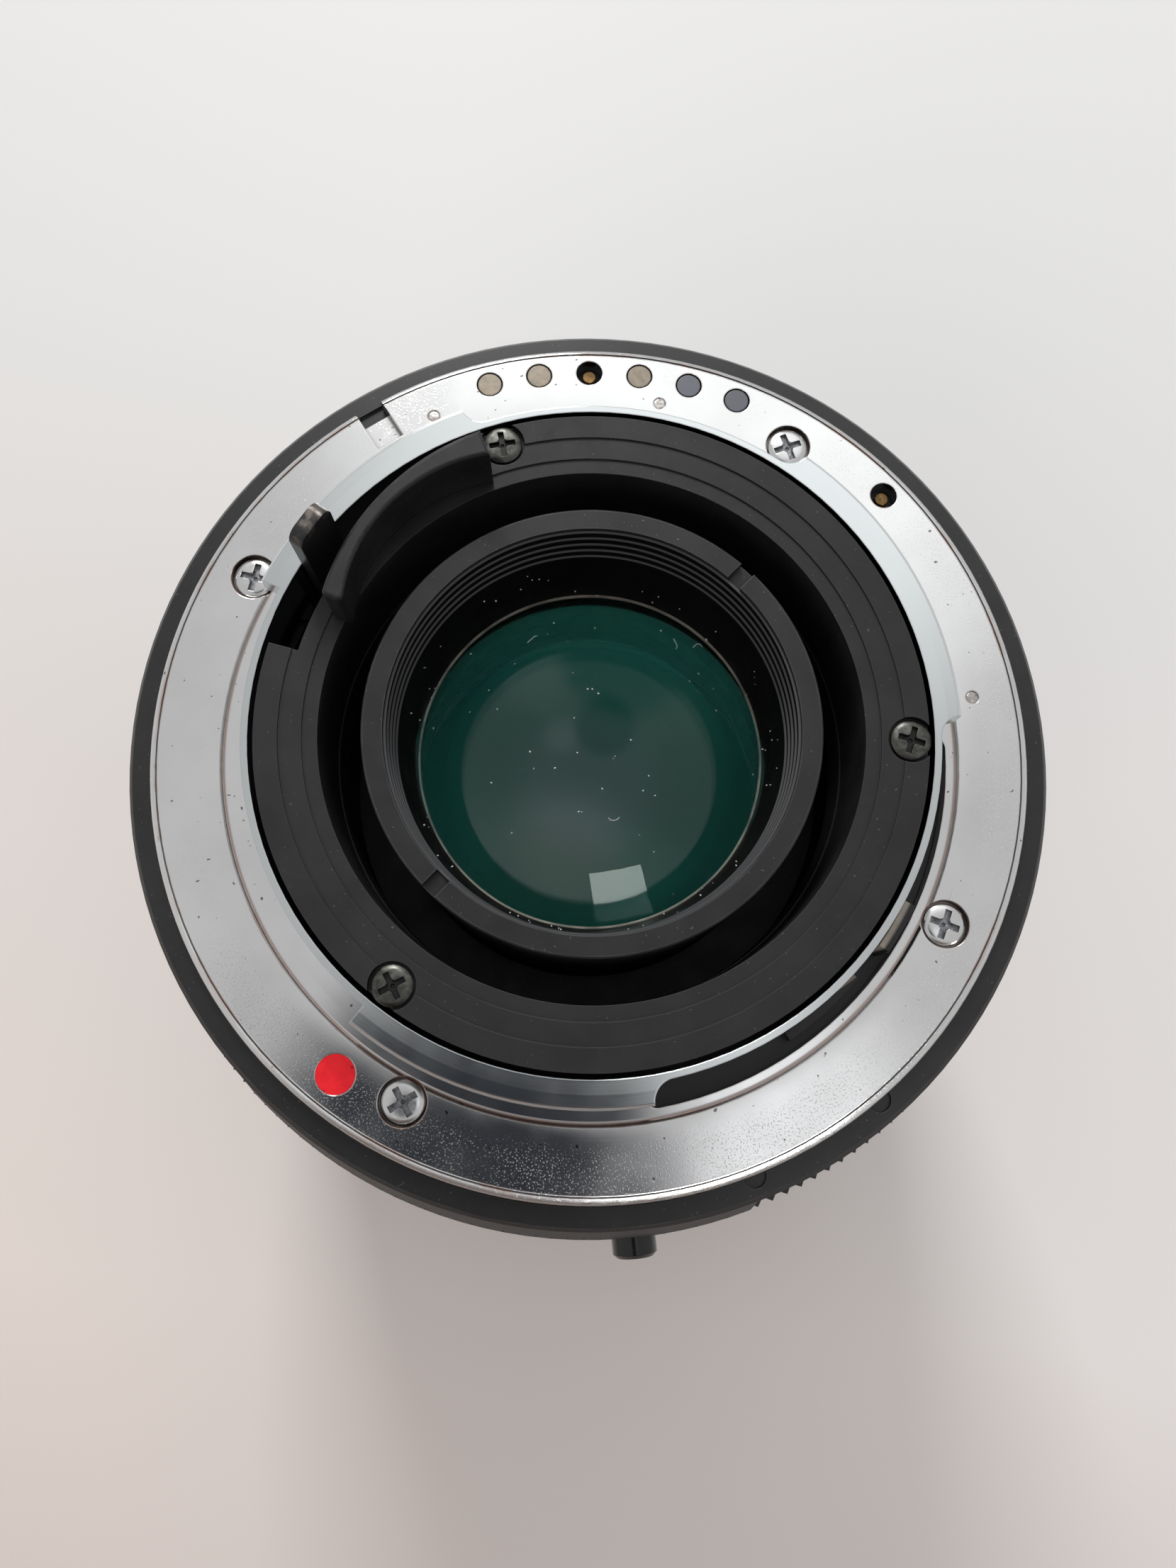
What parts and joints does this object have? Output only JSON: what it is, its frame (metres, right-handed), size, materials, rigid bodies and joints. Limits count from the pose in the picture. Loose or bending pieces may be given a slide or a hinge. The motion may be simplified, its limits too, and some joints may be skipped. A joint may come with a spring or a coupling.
{
  "type": "manual zoom lens",
  "caption": "Manual zoom lens standing on its front rim, with a claw bayonet, aperture ring, stop-down lever and light baffle at the rear.",
  "frame": {"origin": "centre of the front rim, on the table", "axes": "+Z along the optical axis from the front rim to the bayonet, -Y towards the side with the index mark"},
  "size_m": [0.0696, 0.0696, 0.082],
  "materials": {
    "mount_steel": "polished, lightly worn",
    "screw_steel": "satin",
    "pin_steel": "satin",
    "dot_red": "gloss paint",
    "contact_plastic": "matte",
    "contact_metal": "worn plating",
    "pin_brass": "satin",
    "housing_black": "matte",
    "baffle_black": "satin black",
    "baffle_screw": "blackened",
    "spring_steel": "satin",
    "tube_black": "anodised, satin",
    "ring_black": "anodised, satin",
    "mark_white": "paint",
    "coupling_metal": "satin, warm",
    "button_black": "gloss",
    "lever_steel": "worn",
    "grip_rubber": "matte",
    "brass": "satin",
    "cell_black": "matte black",
    "cell_ring": "satin black",
    "lens_glass": "coated",
    "blade_steel": "blackened"
  },
  "bodies": {
    "barrel": {"bayonet_mount": "mount_steel", "mount_screws": "screw_steel", "locating_pins": "pin_steel", "alignment_dot": "dot_red", "contact_block": "contact_plastic", "contact_pads": "contact_metal", "data_pin": "pin_brass", "data_pin_holder": "contact_plastic", "rear_housing": "housing_black", "light_baffle": "baffle_black", "baffle_screws": "baffle_screw", "lever_clip": "spring_steel", "guide_barrel": "tube_black", "index_ring": "ring_black", "index_mark": "mark_white", "zoom_retainer": "ring_black"},
    "aperture_ring": {"aperture_ring": "ring_black", "coupling_ring": "coupling_metal"},
    "lock_button": {"lock_button": "button_black"},
    "a_position_pin": {"a_position_pin": "pin_brass"},
    "stop_down": {"lever_ring": "lever_steel", "stop_down_lever": "lever_steel"},
    "zoom_ring": {"zoom_ring": "ring_black", "zoom_grip": "grip_rubber", "cam_tube": "tube_black", "zoom_key": "brass"},
    "rear_group": {"rear_cell": "cell_black", "cell_ring": "cell_ring", "light_trap": "cell_black", "rear_element": "lens_glass", "rear_spacer": "cell_black", "rear_inner_element": "lens_glass", "rear_lock_ring": "cell_black", "group_carrier": "tube_black", "rear_followers": "brass", "iris_base": "tube_black", "iris_cover": "tube_black"},
    "iris_cam_ring": {"iris_cam_ring": "blade_steel"},
    "front_barrel": {"front_barrel": "tube_black", "front_followers": "brass", "focus_retainer": "ring_black"},
    "focus_ring": {"focus_ring": "ring_black", "focus_grip": "grip_rubber"},
    "front_cell": {"front_cell": "cell_black", "focus_pins": "brass", "front_element": "lens_glass", "front_second_element": "lens_glass", "front_spacer": "cell_black", "trim_ring": "cell_black"},
    "iris_blade_1": {"iris_blade_1": "blade_steel"},
    "iris_blade_2": {"iris_blade_2": "blade_steel"},
    "iris_blade_3": {"iris_blade_3": "blade_steel"},
    "iris_blade_4": {"iris_blade_4": "blade_steel"},
    "iris_blade_5": {"iris_blade_5": "blade_steel"},
    "iris_blade_6": {"iris_blade_6": "blade_steel"}
  },
  "joints": [
    {"name": "aperture_turn", "type": "hinge", "parent": "barrel", "child": "aperture_ring", "pos_m": [0, 0, 0.065], "axis": [0, 0, 1], "range_deg": [-22, 27]},
    {"name": "lock_press", "type": "slide", "parent": "aperture_ring", "child": "lock_button", "axis": [-0.1736, 0.9848, 0], "range_m": [0, 0.0009], "stiffness_N_per_m": 1200},
    {"name": "a_pin_press", "type": "slide", "parent": "barrel", "child": "a_position_pin", "axis": [0, 0, -1], "range_m": [0, 0.0005], "stiffness_N_per_m": 600},
    {"name": "lever_swing", "type": "hinge", "parent": "barrel", "child": "stop_down", "pos_m": [0, 0, 0.0672], "axis": [0, 0, 1], "range_deg": [0, 13], "stiffness_Nm_per_rad": 0.02},
    {"name": "zoom_turn", "type": "hinge", "parent": "barrel", "child": "zoom_ring", "pos_m": [0, 0, 0.035], "axis": [0, 0, 1], "range_deg": [0, 72]},
    {"name": "rear_group_slide", "type": "slide", "parent": "barrel", "child": "rear_group", "axis": [0, 0, -1], "range_m": [0, 0.00801]},
    {"name": "iris_cam_turn", "type": "hinge", "parent": "rear_group", "child": "iris_cam_ring", "pos_m": [0, 0, 0.0495], "axis": [0, 0, 1], "range_deg": [0, 13.05]},
    {"name": "front_barrel_slide", "type": "slide", "parent": "barrel", "child": "front_barrel", "axis": [0, 0, -1], "range_m": [0, 0.01201]},
    {"name": "focus_turn", "type": "hinge", "parent": "front_barrel", "child": "focus_ring", "pos_m": [0, 0, 0.013], "axis": [0, 0, 1], "range_deg": [0, 120]},
    {"name": "front_cell_slide", "type": "slide", "parent": "front_barrel", "child": "front_cell", "axis": [0, 0, -1], "range_m": [0, 0.00601]},
    {"name": "blade_1_swing", "type": "hinge", "parent": "rear_group", "child": "iris_blade_1", "pos_m": [0.0174, 0, 0.0505], "axis": [0, 0, 1], "range_deg": [0, 30.75]},
    {"name": "blade_2_swing", "type": "hinge", "parent": "rear_group", "child": "iris_blade_2", "pos_m": [0.0087, 0.01507, 0.0505], "axis": [0, 0, 1], "range_deg": [0, 30.75]},
    {"name": "blade_3_swing", "type": "hinge", "parent": "rear_group", "child": "iris_blade_3", "pos_m": [-0.0087, 0.01507, 0.0505], "axis": [0, 0, 1], "range_deg": [0, 30.75]},
    {"name": "blade_4_swing", "type": "hinge", "parent": "rear_group", "child": "iris_blade_4", "pos_m": [-0.0174, 0, 0.0505], "axis": [0, 0, 1], "range_deg": [0, 30.75]},
    {"name": "blade_5_swing", "type": "hinge", "parent": "rear_group", "child": "iris_blade_5", "pos_m": [-0.0087, -0.01507, 0.0505], "axis": [0, 0, 1], "range_deg": [0, 30.75]},
    {"name": "blade_6_swing", "type": "hinge", "parent": "rear_group", "child": "iris_blade_6", "pos_m": [0.0087, -0.01507, 0.0505], "axis": [0, 0, 1], "range_deg": [0, 30.75]}
  ],
  "couplings": [
    {"joint": "iris_cam_turn", "follows": "lever_swing", "ratio": 1},
    {"joint": "rear_group_slide", "follows": "zoom_turn", "m_per_rad": 0.0063662},
    {"joint": "front_barrel_slide", "follows": "zoom_turn", "m_per_rad": 0.0095493},
    {"joint": "front_cell_slide", "follows": "focus_turn", "m_per_rad": 0.0028648},
    {"joint": "blade_1_swing", "follows": "lever_swing", "ratio": 2.3615},
    {"joint": "blade_2_swing", "follows": "lever_swing", "ratio": 2.3615},
    {"joint": "blade_3_swing", "follows": "lever_swing", "ratio": 2.3615},
    {"joint": "blade_4_swing", "follows": "lever_swing", "ratio": 2.3615},
    {"joint": "blade_5_swing", "follows": "lever_swing", "ratio": 2.3615},
    {"joint": "blade_6_swing", "follows": "lever_swing", "ratio": 2.3615}
  ]
}
